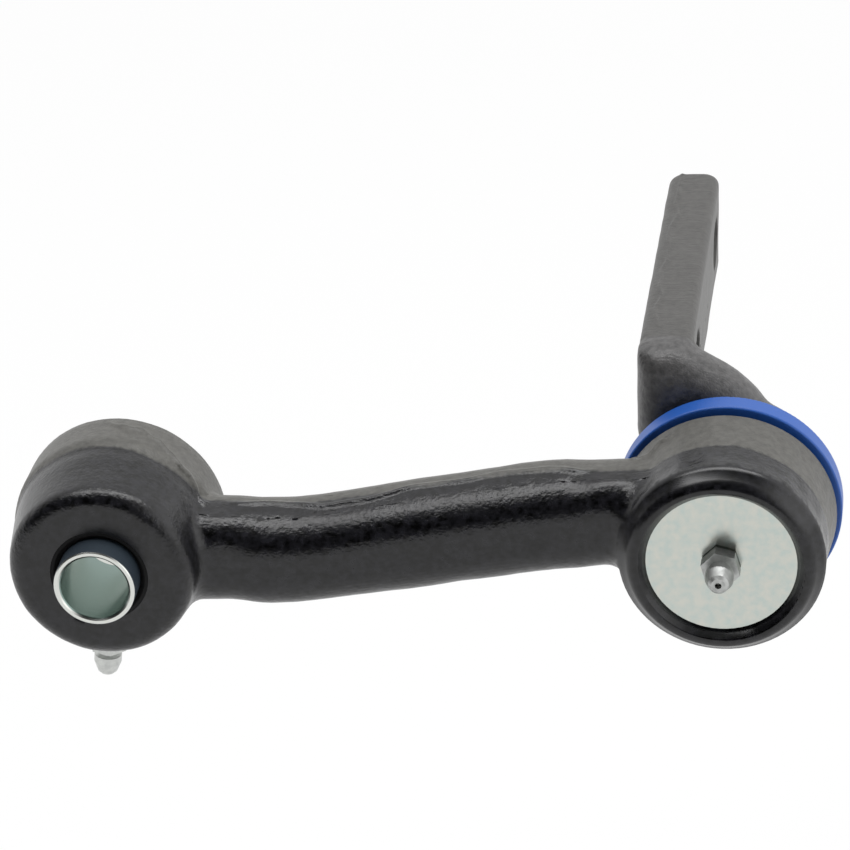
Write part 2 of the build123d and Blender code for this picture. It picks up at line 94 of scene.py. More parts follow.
def add_node(tree: bpy.types.NodeTree, kind: str, settings: dict[str, Any] | None = None,
             **inputs: Any) -> bpy.types.Node:
    """Adds one shader node with its settings, values and links.

    Args:
        tree: The node tree that gets the node.
        kind: The node's type name without the "ShaderNode" at its front.
        settings: Node properties, such as an operation or a data type.
        **inputs: Socket values or output sockets to link, keyed by socket name
            with spaces as underscores, or by i0, i1 and so on for a socket's index.

    Returns:
        The new node.
    """
    node = tree.nodes.new("ShaderNode" + kind)
    for name, value in (settings or {}).items():
        setattr(node, name, value)
    for key, value in inputs.items():
        if key[0] == "i" and key[1:].isdigit():
            socket = node.inputs[int(key[1:])]
        else:
            socket = node.inputs[key.replace("_", " ")]
        if isinstance(value, bpy.types.NodeSocket):
            tree.links.new(value, socket)
        else:
            socket.default_value = value
    return node


def place(tree: bpy.types.NodeTree, scale: Sequence[float] = (1, 1, 1)) -> bpy.types.NodeSocket:
    """Object coordinates in millimetres, stretched.

    Args:
        tree: The node tree.
        scale: Factor along each axis; a small factor stretches the pattern.

    Returns:
        The vector socket.
    """
    where = add_node(tree, "TexCoord")
    return add_node(
        tree, "Mapping", Vector=where.outputs["Object"], Scale=[s / MM for s in scale],
    ).outputs[0]


def from_axis(tree: bpy.types.NodeTree, split: bpy.types.Node,
              axis_x_mm: float) -> bpy.types.NodeSocket:
    """Distance from an axis that runs along Y, in millimetres.

    Args:
        tree: The node tree.
        split: The node that splits object coordinates in millimetres.
        axis_x_mm: Where the axis crosses X.

    Returns:
        The distance socket.
    """
    across = add_node(tree, "Math", {"operation": "SUBTRACT"}, i0=split.outputs[0], i1=axis_x_mm)
    flat = add_node(tree, "CombineXYZ", X=across.outputs[0], Y=split.outputs[2])
    reach = add_node(tree, "VectorMath", {"operation": "LENGTH"}, i0=flat.outputs[0])
    return reach.outputs["Value"]


@dataclass(frozen=True)
class Relief:
    """One layer of surface relief: a noise sized in millimetres.

    A stretch below 1 draws the pattern out along that axis, and one above 1
    crowds it.
    """

    size_mm: float
    height_mm: float
    detail: float = 2.0
    stretch: tuple[float, float, float] = (1.0, 1.0, 1.0)


class Skin(Enum):
    """How a surface was made, as the layers of relief that this leaves.

    The finest grain of the real surfaces is 0.1 to 0.3 mm, which is too fine to
    show, so it is drawn at 0.45 mm or more.
    """

    PLAIN = ()
    # Shot-blasted under the paint: shallow lumps, scale pits and a fine peel.
    BLASTED = (Relief(4.0, 0.08, 2.0), Relief(1.0, 0.11, 3.0), Relief(0.45, 0.06, 2.0))
    # Drawn out under the hammer: the pits lie in short streaks.
    DRAWN = (Relief(5.0, 0.08, 2.0), Relief(0.9, 0.10, 3.0, (0.3, 1.4, 0.6)),
             Relief(0.45, 0.08, 2.0))
    # Cold-rolled and plated: all but flat, so a reflection only loses its edge.
    ROLLED = (Relief(0.8, 0.008, 4.0),)
    # Turned in a lathe: rings round the axis, which break a highlight into arcs.
    TURNED = (Relief(0.8, 0.02, 3.0, (0.15, 1.5, 0.15)),)
    # Moulded: a faint flow of the material under a satin face.
    MOULDED = (Relief(0.5, 0.008, 2.0),)


@dataclass(frozen=True)
class Finish:
    """What every finish shares: a name, its colour and how its skin was made.

    The colour is what the bare surface shows under plain light.
    """

    name: str
    colour: str
    roughness: float
    metallic: float = 0.0
    skin: Skin = Skin.PLAIN

    def start(self) -> tuple[bpy.types.Material, bpy.types.NodeTree, bpy.types.Node]:
        """Makes an empty material with its principled shader and its relief.

        Returns:
            The material, its node tree and its principled shader node.
        """
        material = bpy.data.materials.new(self.name)
        material.use_nodes = True
        tree = material.node_tree
        tree.nodes.clear()
        shader = add_node(tree, "BsdfPrincipled", Metallic=self.metallic, Roughness=self.roughness)
        shader.inputs["Base Color"].default_value = linear(self.colour)
        add_node(tree, "OutputMaterial", Surface=shader.outputs[0])
        share = self.relief_share(tree) if self.skin.value else 1.0
        normal = None
        for layer in self.skin.value:
            pattern = add_node(tree, "TexNoise", Vector=place(tree, layer.stretch),
                               Scale=1 / layer.size_mm, Detail=layer.detail)
            bump = add_node(tree, "Bump", Height=pattern.outputs[0], Strength=share,
                            Distance=layer.height_mm * MM)
            if normal is not None:
                tree.links.new(normal, bump.inputs["Normal"])
            normal = bump.outputs[0]
        if normal is not None:
            tree.links.new(normal, shader.inputs["Normal"])
        return material, tree, shader

    def relief_share(self, tree: bpy.types.NodeTree) -> float | bpy.types.NodeSocket:
        """How much of the relief shows: all of it, everywhere."""
        return 1.0

    def build(self) -> bpy.types.Material:
        """Makes the material; finishes with a pattern add to this."""
        return self.start()[0]

    def material(self) -> bpy.types.Material:
        """The finish's material, made when it is first asked for."""
        return bpy.data.materials.get(self.name) or self.build()


@dataclass(frozen=True)
class ForgedCoat(Finish):
    """Black electrocoat, dipped and baked over a hot-forged and shot-blasted skin.

    On the arm, the paint in front of the parting line is thick and glossy. Behind it the steel was
    trimmed and ground, and the paint is thinner, greyer and duller. On the bar, the two colours
    only paint the neck a shade lighter than the bar, as painted light.
    A coat with a lip depth leaves the rolled lip and the ring round the sleeve
    without relief.
    """

    back_colour: str = "#000000"
    back_roughness: float = 0.5
    parting_mm: float = 0.0
    parting_slope: float = 0.0
    parting_blur_mm: tuple[float, float] = (-0.3, 0.9)
    wander_mm: float = 1.2
    wander_size_mm: float = 14.0
    mottle_mm: float = 1.6
    front_mottle: tuple[float, float] = (0.7, 1.3)
    back_mottle: tuple[float, float] = (0.84, 1.16)
    lip_depth_mm: tuple[float, float] = (0.0, 0.0)
    lip_x_mm: tuple[float, float] = (-30.0, -36.0)
    seat_x_mm: float = LINK_X_MM
    seat_radius_mm: tuple[float, float] = (0.0, 0.0)
    ior: float = 1.5

    def relief_share(self, tree: bpy.types.NodeTree) -> float | bpy.types.NodeSocket:
        """None of the relief on the rolled lip and round the sleeve, all of it elsewhere.

        Args:
            tree: The node tree.

        Returns:
            The share, as a plain number where it is the same everywhere.
        """
        if self.lip_depth_mm[1] <= 0:
            return 1.0
        split = add_node(tree, "SeparateXYZ", Vector=place(tree))
        behind = add_node(tree, "MapRange", Value=split.outputs[1],
                          From_Min=self.lip_depth_mm[0], From_Max=self.lip_depth_mm[1])
        away = add_node(tree, "MapRange", Value=split.outputs[0],
                        From_Min=self.lip_x_mm[0], From_Max=self.lip_x_mm[1])
        lip = add_node(tree, "Math", {"operation": "MAXIMUM"}, i0=behind.outputs[0],
                       i1=away.outputs[0])
        seat = add_node(tree, "MapRange", Value=from_axis(tree, split, self.seat_x_mm),
                        From_Min=self.seat_radius_mm[0], From_Max=self.seat_radius_mm[1])
        return add_node(tree, "Math", {"operation": "MULTIPLY"}, i0=lip.outputs[0],
                        i1=seat.outputs[0]).outputs[0]

    def build(self) -> bpy.types.Material:
        """Makes the coat: two paints that meet at a wandering parting line.

        Returns:
            The material.
        """
        material, tree, shader = self.start()
        where = place(tree)
        split = add_node(tree, "SeparateXYZ", Vector=where)
        wander = add_node(tree, "TexNoise", Vector=where, Scale=1 / self.wander_size_mm,
                          Detail=2.0)
        sway = add_node(tree, "MapRange", Value=wander.outputs[0],
                        To_Min=-self.wander_mm, To_Max=self.wander_mm)
        line = add_node(tree, "Math", {"operation": "MULTIPLY_ADD"}, i0=split.outputs[0],
                        i1=-self.parting_slope, i2=self.parting_mm)
        depth = add_node(tree, "Math", {"operation": "SUBTRACT"}, i0=split.outputs[1],
                         i1=line.outputs[0])
        swayed = add_node(tree, "Math", {"operation": "ADD"}, i0=depth.outputs[0],
                          i1=sway.outputs[0])
        behind = add_node(tree, "MapRange", SMOOTH, Value=swayed.outputs[0],
                          From_Min=self.parting_blur_mm[0], From_Max=self.parting_blur_mm[1])
        mottle = add_node(tree, "TexNoise", Vector=where, Scale=1 / self.mottle_mm, Detail=5.0)
        front_wear, back_wear = (
            add_node(tree, "MapRange", Value=mottle.outputs[0], From_Min=NOISE_SPAN[0],
                     From_Max=NOISE_SPAN[1], To_Min=darkest, To_Max=lightest)
            for darkest, lightest in (self.front_mottle, self.back_mottle)
        )
        wear = add_node(tree, "Mix", {"data_type": "FLOAT"}, i0=behind.outputs[0],
                        i2=front_wear.outputs[0], i3=back_wear.outputs[0])
        colour = add_node(tree, "Mix", {"data_type": "RGBA"}, i0=behind.outputs[0],
                          i6=linear(self.colour), i7=linear(self.back_colour))
        tinted = add_node(tree, "VectorMath", {"operation": "SCALE"}, i0=colour.outputs[2],
                          Scale=wear.outputs[0])
        rough = add_node(tree, "MapRange", Value=behind.outputs[0], To_Min=self.roughness,
                         To_Max=self.back_roughness)
        tree.links.new(tinted.outputs[0], shader.inputs["Base Color"])
        tree.links.new(rough.outputs[0], shader.inputs["Roughness"])
        shader.inputs["IOR"].default_value = self.ior
        return material


@dataclass(frozen=True)
class CloudedMetal(Finish):
    """A metal whose colour and gloss drift a little from patch to patch.

    The tint is the colour of the patches, and the swing is how far they are
    glossier and duller than the roughness given.
    """

    metallic: float = 1.0
    cloud_mm: float = 6.0
    tint: str = "#ffffff"
    swing: tuple[float, float] = (0.05, 0.08)

    def build(self) -> bpy.types.Material:
        """Makes the metal with its clouds.

        Returns:
            The material.
        """
        material, tree, shader = self.start()
        clouds = add_node(tree, "TexNoise", Vector=place(tree), Scale=1 / self.cloud_mm,
                          Detail=5.0)
        rough = add_node(tree, "MapRange", Value=clouds.outputs[0],
                         To_Min=self.roughness - self.swing[0],
                         To_Max=self.roughness + self.swing[1])
        shift = add_node(tree, "MapRange", Value=clouds.outputs[0],
                         From_Min=NOISE_SPAN[0], From_Max=NOISE_SPAN[1])
        colour = add_node(tree, "Mix", {"data_type": "RGBA"}, i0=shift.outputs[0],
                          i6=linear(self.colour), i7=linear(self.tint))
        tree.links.new(colour.outputs[2], shader.inputs["Base Color"])
        tree.links.new(rough.outputs[0], shader.inputs["Roughness"])
        return material


@dataclass(frozen=True)
class TurnedSleeve(Finish):
    """Zinc-plated tube: bright faced ends, a greener turned bore, and an outside painted dark and
    dull as a painted dark reflection.
    """

    metallic: float = 1.0
    bore_colour: str = "#8c9e98"
    bore_radius_mm: float = 8.2
    # Painted dark reflection: a dark blue-grey, non-metal colour on the outside, in place of the
    # zinc's own reflection.
    outside_painted_reflection: str = "#2a343d"
    outside_radius_mm: float = 9.42
    outside_roughness: float = 0.5
    axis_x_mm: float = LINK_X_MM

    def build(self) -> bpy.types.Material:
        """Makes the sleeve's material, which tells its faces apart by their radius.

        Returns:
            The material.
        """
        material, tree, shader = self.start()
        split = add_node(tree, "SeparateXYZ", Vector=place(tree))
        radius = from_axis(tree, split, self.axis_x_mm)
        inside = add_node(tree, "Math", {"operation": "LESS_THAN"}, i0=radius,
                          i1=self.bore_radius_mm)
        colour = add_node(tree, "Mix", {"data_type": "RGBA"}, i0=inside.outputs[0],
                          i6=linear(self.colour), i7=linear(self.bore_colour))
        # Outside the tube the colour turns dark, dull and non-metal: a painted dark reflection.
        outside = add_node(tree, "Math", {"operation": "GREATER_THAN"}, i0=radius,
                           i1=self.outside_radius_mm)
        whole = add_node(tree, "Mix", {"data_type": "RGBA"}, i0=outside.outputs[0],
                         i6=colour.outputs[2], i7=linear(self.outside_painted_reflection))
        metal = add_node(tree, "Math", {"operation": "SUBTRACT"}, i0=1.0, i1=outside.outputs[0])
        rough = add_node(tree, "MapRange", Value=outside.outputs[0], To_Min=self.roughness,
                         To_Max=self.outside_roughness)
        tree.links.new(whole.outputs[2], shader.inputs["Base Color"])
        tree.links.new(metal.outputs[0], shader.inputs["Metallic"])
        tree.links.new(rough.outputs[0], shader.inputs["Roughness"])
        return material


# Electrocoated forging: near black and glossy in front, with sharp small glints
# on its pitted skin, and a duller grey behind the line where it was trimmed.
ARM_COAT = ForgedCoat(
    "electrocoated_forging", "#111114", 0.27, skin=Skin.BLASTED, front_mottle=(0.1, 2.4),
    back_colour="#565551", back_roughness=0.42, parting_mm=11.5, parting_slope=0.0224,
    lip_depth_mm=(2.0, 4.5), seat_radius_mm=(12.0, 19.0))

# Electrocoated bar: the same paint over a drawn skin, which scatters more light and reads as an
# even dark grey with short streaks. Its neck, in front of 44 mm, is painted a shade lighter than
# the bar: painted light where the neck catches more light.
# The lighter front colour, on the neck, is painted light.
BAR_COAT = ForgedCoat(
    "electrocoated_bar", "#515050", 0.38, skin=Skin.DRAWN,
    back_colour="#484745", back_roughness=0.42, parting_mm=44.0)

# Zinc plate on rolled sheet: pale and faintly green, with a blurred mirror image
# of what stands on it.
COVER_ZINC = CloudedMetal(
    "zinc_plated_cover", "#c9cac2", 0.21, skin=Skin.ROLLED, cloud_mm=2.2, tint="#bec7c2")

# Zinc plate on turned tube: bright ends, a bore with soft rings, and an outside painted dark and
# dull as a painted dark reflection.
SLEEVE_ZINC = TurnedSleeve("zinc_plated_sleeve", "#dadcd7", 0.26, skin=Skin.TURNED)

# Zinc plate on the two fittings: dull and milky on the one in the cover, and
# brighter on the one under the link boss.
PIVOT_FITTING_ZINC = CloudedMetal(
    "dull_zinc_fitting", "#c4c6c4", 0.45, skin=Skin.ROLLED, cloud_mm=1.5, tint="#aeb0ae")
LINK_FITTING_ZINC = CloudedMetal(
    "bright_zinc_fitting", "#cccecb", 0.33, skin=Skin.ROLLED, cloud_mm=1.5, tint="#bcbebc")

# Spring steel, hardened and oiled: dark grey with a soft sheen.
RING_STEEL = CloudedMetal("oiled_spring_steel", "#4a4a4e", 0.35, tint="#4a4a4e")

# Bearing steel, burnished: pale, and so rough that it glows rather than mirrors.
BALL_STEEL = CloudedMetal("burnished_ball", "#e0e0dc", 0.7, tint="#d2d2ce")

# Ground steel: an even mid grey with a clear sheen.
WASHER_STEEL = CloudedMetal("ground_steel", "#9b9b9c", 0.28, tint="#9b9b9c")

# Sintered bronze: brownish gold, dulled by its oil-filled pores.
BUSH_BRONZE = CloudedMetal("sintered_bronze", "#b08a4e", 0.42, tint="#a07c46")

# Moulded acetal: waxy off-white.
PAD_ACETAL = Finish("moulded_acetal", "#e2e0d4", 0.4)

# Moulded polyurethane: saturated blue with a satin face.
SEAL_BLUE = Finish("moulded_polyurethane", "#2157ab", 0.42, skin=Skin.MOULDED)

# Moulded nitrile rubber: soot black, with next to no highlight.
SEAL_BLACK = Finish("moulded_nitrile", "#0a0a0b", 0.8, skin=Skin.MOULDED)


def dress(node: str, finish: Finish) -> None:
    """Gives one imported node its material.

    Args:
        node: The node's name.
        finish: The finish for all of its faces.
    """
    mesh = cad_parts[node].data
    mesh.materials.clear()
    mesh.materials.append(finish.material())
    for face in mesh.polygons:
        face.material_index = 0
    log.info("dressed %s with %s", node, finish.name)


def ramp(value: float, start: float, end: float) -> float:
    """Rises smoothly from 0 at start to 1 at end; start may be the larger."""
    share = min(max((value - start) / (end - start), 0.0), 1.0)
    return share * share * (3 - 2 * share)


def table(rows: Sequence[tuple[float, float]], at: float) -> float:
    """Reads a table by straight lines between its rows.

    Args:
        rows: Pairs of a place and a value, with the places rising.
        at: The place to read at; the ends hold outside the table.

    Returns:
        The value there.
    """
    for (low, before), (high, after) in zip(rows, rows[1:]):
        if at <= high:
            return before + (after - before) * min(max((at - low) / (high - low), 0.0), 1.0)
    return rows[-1][1]


def skin_mesh(node: str) -> bmesh.types.BMesh:
    """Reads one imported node's solid, in millimetres and with its seams closed.

    Args:
        node: The node's name.

    Returns:
        A new mesh in the part's frame.
    """
    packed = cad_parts[node]
    mesh = bmesh.new()
    mesh.from_mesh(packed.data)
    mesh.transform(Matrix.Scale(1 / MM, 4) @ packed.matrix_world)
    bmesh.ops.remove_doubles(mesh, verts=mesh.verts, dist=0.001)
    return mesh


def refine(mesh: bmesh.types.BMesh, longest: Callable[[Vector], float]) -> None:
    """Halves edges until each is shorter than the place it lies in allows.

    Args:
        mesh: The mesh to refine.
        longest: Gives the longest edge allowed at a point.
    """
    for _ in range(REFINE_ROUNDS):
        long_edges = [
            e for e in mesh.edges
            if e.calc_length() > longest((e.verts[0].co + e.verts[1].co) / 2)
        ]
        if not long_edges:
            return
        bmesh.ops.subdivide_edges(mesh, edges=long_edges, cuts=1)
        bmesh.ops.triangulate(mesh, faces=[f for f in mesh.faces if len(f.verts) > 3])


def finish_skin(mesh: bmesh.types.BMesh, name: str, node: str, body: Body,
                finish: Finish) -> None:
    """Turns a shaped mesh into the visible skin of a packed forging.

    Args:
        mesh: The shaped mesh in millimetres; it is freed here.
        name: Name of the new piece.
        node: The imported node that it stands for.
        body: The body that it rides on.
        finish: Its finish.
    """
    mesh.transform(Matrix.Scale(MM, 4))
    data = bpy.data.meshes.new(name)
    mesh.to_mesh(data)
    mesh.free()
    data.shade_smooth()
    data.set_sharp_from_angle(angle=math.radians(SHARP_DEGREES))
    data.materials.append(finish.material())
    piece = bpy.data.objects.new(name, data)
    bpy.context.scene.collection.objects.link(piece)
    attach(piece, body.value)
    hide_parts(node)
    log.info("%s: %d faces", name, len(data.polygons))


@dataclass
class ForgedArm:
    """The arm as it left the hammer: a softer web, a wandering flash line and an uneven skin.

    All sizes are in millimetres. The web's upper front corner is rounder than in
    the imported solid, and its upper and lower outlines are drawn in by the sag
    tables. The flash line wanders along the web, and the bead that trimming left
    crosses each boss along its trim line, given by angle round the boss and depth.
    """

    coat: Finish = ARM_COAT
    bends: tuple[tuple[float, float], ...] = (
        (LINK_X_MM, -2.4), (-104.0, -2.4), (-40.0, 6.0), (0.0, 6.0))
    bend_soft: float = 11.0
    half_height: float = 11.7
    round_depth: float = 12.0
    round_rise: float = 9.9
    round_back_y: float = 15.8
    web_start: tuple[float, float] = (-116.0, -107.0)
    web_end: tuple[float, float] = (-26.0, -35.0)
    sag_above: tuple[tuple[float, float], ...] = (
        (-116.0, 0.3), (-106.0, 0.9), (-99.0, 1.3), (-86.0, 1.3), (-78.0, 0.8),
        (-58.0, 0.45), (-44.0, 0.0), (-36.0, -0.2), (-28.0, 0.2))
    sag_below: tuple[tuple[float, float], ...] = (
        (-116.0, 0.8), (-106.0, 1.35), (-99.0, 1.5), (-72.0, 1.45), (-62.0, 1.2),
        (-50.0, 1.15), (-44.0, 0.95), (-36.0, 0.7), (-28.0, 0.45))
    land_y: tuple[float, float] = (8.4, 13.6)
    land_x: tuple[float, float] = (-123.5, -14.0)
    land_rise: float = 6.0
    clear_z: float = 60.0
    flash_y: float = 13.0
    flash_wander: float = 1.3
    flash_wave: float = 11.0
    flash_width: float = 0.75
    flash_proud: float = 0.6
    flash_rise: tuple[float, float] = (6.0, 9.0)
    link_trim: tuple[tuple[float, float], ...] = (
        (22.0, 14.0), (42.0, 17.0), (58.0, 20.5), (76.0, 23.5), (96.0, 26.6))
    pivot_trim: tuple[tuple[float, float], ...] = (
        (158.0, 13.6), (143.0, 16.0), (128.0, 19.6), (112.0, 22.6))
    trim_radius: tuple[float, float] = (20.5, 27.0)
    trim_wander: float = 1.6
    trim_wave_degrees: float = 9.0
    trim_fade_degrees: float = 14.0
    seat_radius: tuple[float, float] = (14.0, 20.0)
    lip_radius: tuple[float, float] = (22.4, 23.4)
    lip_y: tuple[float, float] = (1.0, 4.5)
    seal_face_y: tuple[float, float] = (23.9, 22.5)
    boss_radius: float = 27.0
    spot_face: tuple[float, float, float] = (-146.5, 11.5, -24.0)
    spot_radius: tuple[float, float] = (5.5, 8.0)
    lump_mm: float = 0.14
    lump_size: float = 8.0
    dimple_mm: float = 0.05
    dimple_size: float = 3.0
    line_edge: float = 0.65
    web_edge: float = 1.5
    boss_edge: float = 2.4
    flash_near: tuple[float, float] = (3.0, 7.5)
    trim_near: float = 1.8

    def centre_z(self, x: float) -> float:
        """Height of the web's centre line, with its bends softened.

        Args:
            x: The place along the arm.

        Returns:
            The mean height over a short stretch on both sides of x.
        """
        total = 0.0
        steps = (-1.0, -0.5, 0.0, 0.5, 1.0)
        for k in steps:
            at = min(max(x + k * self.bend_soft, self.bends[0][0]), self.bends[-1][0])
            for (x0, z0), (x1, z1) in zip(self.bends, self.bends[1:]):
                if x0 <= at <= x1:
                    total += z0 + (z1 - z0) * (at - x0) / (x1 - x0)
                    break
        return total / len(steps)

    def web_share(self, x: float) -> float:
        """1 along the web, 0 in the bosses."""
        return ramp(x, *self.web_start) * ramp(x, *self.web_end)

    def longest(self, at: Vector) -> float:
        """Longest edge allowed at a point: short along the flash and trim lines.

        Args:
            at: A point of the skin.

        Returns:
            The length; machined faces are left as they are packed.
        """
        if self.plain_share(at) <= 0:
            return WHOLE_EDGE
        if self.web_share(at.x) > 0:
            beside, rise = self.flash_near
            near = abs(at.y - self.flash_y) < beside and abs(at.z - self.centre_z(at.x)) > rise
            return self.line_edge if near else self.web_edge
        return self.line_edge if abs(self.trim_gap(at)[0]) < self.trim_near else self.boss_edge

    def trim_gap(self, at: Vector) -> tuple[float, float]:
        """Places a point against the trim line that crosses its boss.

        Args:
            at: A point of the skin.

        Returns:
            How far it lies behind the line, and how much of the line's bead
            stands there, which dies out at the line's upper end.
        """
        for axis_x, line in ((LINK_X_MM, self.link_trim), (0.0, self.pivot_trim)):
            reach = math.hypot(at.x - axis_x, at.z)
            angle = math.degrees(math.atan2(at.z, at.x - axis_x))
            if not self.trim_radius[0] < reach < self.trim_radius[1]:
                continue
            for (a0, y0), (a1, y1) in zip(line, line[1:]):
                if min(a0, a1) <= angle <= max(a0, a1):
                    wave = Vector((angle / self.trim_wave_degrees, axis_x, 2.5))
                    sway = self.trim_wander * noise.noise(wave)
                    gap = at.y - (y0 + (y1 - y0) * (angle - a0) / (a1 - a0)) - sway
                    return gap, ramp(abs(angle - line[-1][0]), 0.0, self.trim_fade_degrees)
        return WHOLE_EDGE, 0.0

    def plain_share(self, at: Vector) -> float:
        """How much of the forged skin's unevenness a point gets.

        Args:
            at: A point of the skin.

        Returns:
            0 on machined and fitted faces, 1 on the forged skin.
        """
        pivot = math.hypot(at.x, at.z)
        link = math.hypot(at.x - LINK_X_MM, at.z)
        share = ramp(link, *self.seat_radius) * ramp(pivot, *self.lip_radius)
        share *= ramp((at - Vector(self.spot_face)).length, *self.spot_radius)
        if pivot > self.boss_radius:
            return share
        return share * (ramp(at.y, *self.seal_face_y) * ramp(at.y, *self.lip_y))

    def flatten_land(self, mesh: bmesh.types.BMesh) -> None:
        """Takes off the solid's straight flash land, for the wandering line to stand instead.

        Args:
            mesh: The arm's mesh, changed in place.
        """
        tree = BVHTree.FromBMesh(mesh)
        front, back = self.land_y
        for vert in mesh.verts:
            at = vert.co
            centre = self.centre_z(at.x)
            side = 1.0 if at.z >= centre else -1.0
            inside = front < at.y < back and self.land_x[0] < at.x < self.land_x[1]
            if not inside or (at.z - centre) * side < self.land_rise:
                continue
            start = Vector((at.x, front, side * self.clear_z))
            ahead = tree.ray_cast(start, Vector((0, 0, -side)))[0]
            start.y = back
            behind = tree.ray_cast(start, Vector((0, 0, -side)))[0]
            if ahead is None or behind is None:
                continue
            level = ahead.z + (behind.z - ahead.z) * (at.y - front) / (back - front)
            if (at.z - level) * side > 0:
                at.z = level

    def shape(self, at: Vector) -> Vector:
        """Moves one point of the solid's web onto the rounder section.

        Args:
            at: A point of the skin.

        Returns:
            Its new place, which is the old one outside the web.
        """
        centre = self.centre_z(at.x)
        side = 1.0 if at.z >= centre else -1.0
        rise = (at.z - centre) * side
        share = self.web_share(at.x)
        if share <= 0:
            return at
        if side < 0:
            return at - Vector((0, 0, table(self.sag_below, at.x) * share))
        flat = self.half_height - self.round_rise
        q = Vector(((self.round_back_y - at.y) / self.round_depth, (rise - flat) / self.round_rise))
        if q.x > 0 and q.y > 0 and q.length > 1:
            q = q.normalized()
            new_y = self.round_back_y - self.round_depth * q.x
            new_rise = flat + self.round_rise * q.y
        else:
            new_y, new_rise = at.y, min(rise, self.half_height)
        sway = noise.noise(Vector((at.x / self.flash_wave, 3.7 * side, 0.5)))
        line = self.flash_y + 2 * self.flash_wander * sway
        proud = self.flash_proud * math.exp(-((new_y - line) / self.flash_width) ** 2)
        new_rise += proud * ramp(new_rise, *self.flash_rise)
        target = Vector((at.x, new_y, centre + new_rise - table(self.sag_above, at.x)))
        return at.lerp(target, share)

    def build(self) -> None:
        """Shapes and dresses the arm."""
        dress("arm_forging", self.coat)
        mesh = skin_mesh("arm_forging")
        refine(mesh, self.longest)
        self.flatten_land(mesh)
        for vert in mesh.verts:
            vert.co = self.shape(vert.co)
        mesh.normal_update()
        moves = []
        for vert in mesh.verts:
            lump = noise.noise(vert.co / self.lump_size) * self.lump_mm
            dimple = noise.noise(vert.co / self.dimple_size + Vector((7, 1, 3))) * self.dimple_mm
            gap, stands = self.trim_gap(vert.co)
            bead = stands * self.flash_proud * math.exp(-(gap / self.flash_width) ** 2)
            moves.append(vert.normal * (lump + dimple + bead) * self.plain_share(vert.co))
        for vert, move in zip(mesh.verts, moves):
            vert.co += move
        finish_skin(mesh, "arm_skin", "arm_forging", Body.ARM, self.coat)


@dataclass
class ForgedBracket:
    """The bracket with its neck drawn smoothly into the bar, as a forging flows.

    All sizes are in millimetres. A faint seam runs along the bar, and the
    journal and hub in front of the neck stay as they are packed.
    """

    coat: Finish = BAR_COAT
    passes: int = 22
    pull: float = 0.6
    neck_y: tuple[float, float, float, float] = (32.5, 35.5, 47.0, 54.0)
    neck_z: tuple[float, float] = (14.0, 19.0)
    hub_y: float = 31.0
    skin_y: tuple[float, float] = (31.6, 35.0)
    lump_mm: float = 0.13
    lump_size: float = 7.0
    seam_x: float = -17.2
    seam_z: float = 33.5
    seam_y: tuple[float, float] = (46.0, 52.0)
    seam_wander: float = 1.1
    seam_wave: float = 8.0
    seam_width: float = 0.5
    seam_proud: float = 0.3
    seam_near: float = 2.2
    neck_edge: float = 1.1
    seam_edge: float = 0.7
    bar_edge: float = 3.2

    def longest(self, at: Vector) -> float:
        """Longest edge allowed at a point: short at the neck and along the seam.

        Args:
            at: A point of the skin.

        Returns:
            The length; the journal and hub are left as they are packed.
        """
        if at.y < self.hub_y:
            return WHOLE_EDGE
        if self.neck_share(at) > 0:
            return self.neck_edge
        on_top = at.z > self.seam_z and at.y > self.seam_y[0]
        near = on_top and abs(at.x - self.seam_x) < self.seam_near
        return self.seam_edge if near else self.bar_edge

    def neck_share(self, at: Vector) -> float:
        """1 where the neck turns into the bar, 0 elsewhere."""
        low, full, fade, end = self.neck_y
        return ramp(at.y, low, full) * ramp(at.y, end, fade) * ramp(at.z, *self.neck_z)

    def smooth_neck(self, mesh: bmesh.types.BMesh) -> None:
        """Draws the neck's points towards their neighbours, again and again.

        Args:
            mesh: The bracket's mesh, changed in place.
        """
        shares = [self.neck_share(v.co) for v in mesh.verts]
        for _ in range(self.passes):
            moved = []
            for vert, share in zip(mesh.verts, shares):
                if share <= 0:
                    moved.append(None)
                    continue
                mean = Vector((0, 0, 0))
                for edge in vert.link_edges:
                    mean += edge.other_vert(vert).co
                mean /= len(vert.link_edges)
                moved.append(vert.co.lerp(mean, self.pull * share))
            for vert, co in zip(mesh.verts, moved):
                if co is not None:
                    vert.co = co

    def build(self) -> None:
        """Shapes and dresses the bracket."""
        dress("bracket_forging", self.coat)
        mesh = skin_mesh("bracket_forging")
        refine(mesh, self.longest)
        self.smooth_neck(mesh)
        mesh.normal_update()
        moves = []
        for vert in mesh.verts:
            at = vert.co
            height = noise.noise(at / self.lump_size) * self.lump_mm * ramp(at.y, *self.skin_y)
            if at.z > self.seam_z:
                wave = Vector((at.y / self.seam_wave, 1.5, 4.0))
                sway = self.seam_wander * noise.noise(wave)
                seam = math.exp(-((at.x - self.seam_x - sway) / self.seam_width) ** 2)
                height += self.seam_proud * seam * ramp(at.y, *self.seam_y)
            moves.append(vert.normal * height)
        for vert, move in zip(mesh.verts, moves):
            vert.co += move
        finish_skin(mesh, "bracket_skin", "bracket_forging", Body.BRACKET, self.coat)


@dataclass
class PivotJoint:
    """What fills and closes the pivot boss, and the dust seal behind it."""

    cover: Finish = COVER_ZINC
    seal: Finish = SEAL_BLUE
    spring: Finish = RING_STEEL
    washer: Finish = WASHER_STEEL
    bush: Finish = BUSH_BRONZE
    pad: Finish = PAD_ACETAL

    def build(self) -> None:
        """Dresses the pivot's pieces."""
        dress("pivot_cover_plate", self.cover)
        dress("dust_seal", self.seal)
        dress("pivot_retaining_ring", self.spring)
        dress("pivot_disc_spring", self.spring)
        dress("pivot_thrust_washer", self.washer)
        dress("pivot_front_bush", self.bush)
        dress("pivot_rear_bush", self.bush)
        dress("pivot_pressure_pad", self.pad)


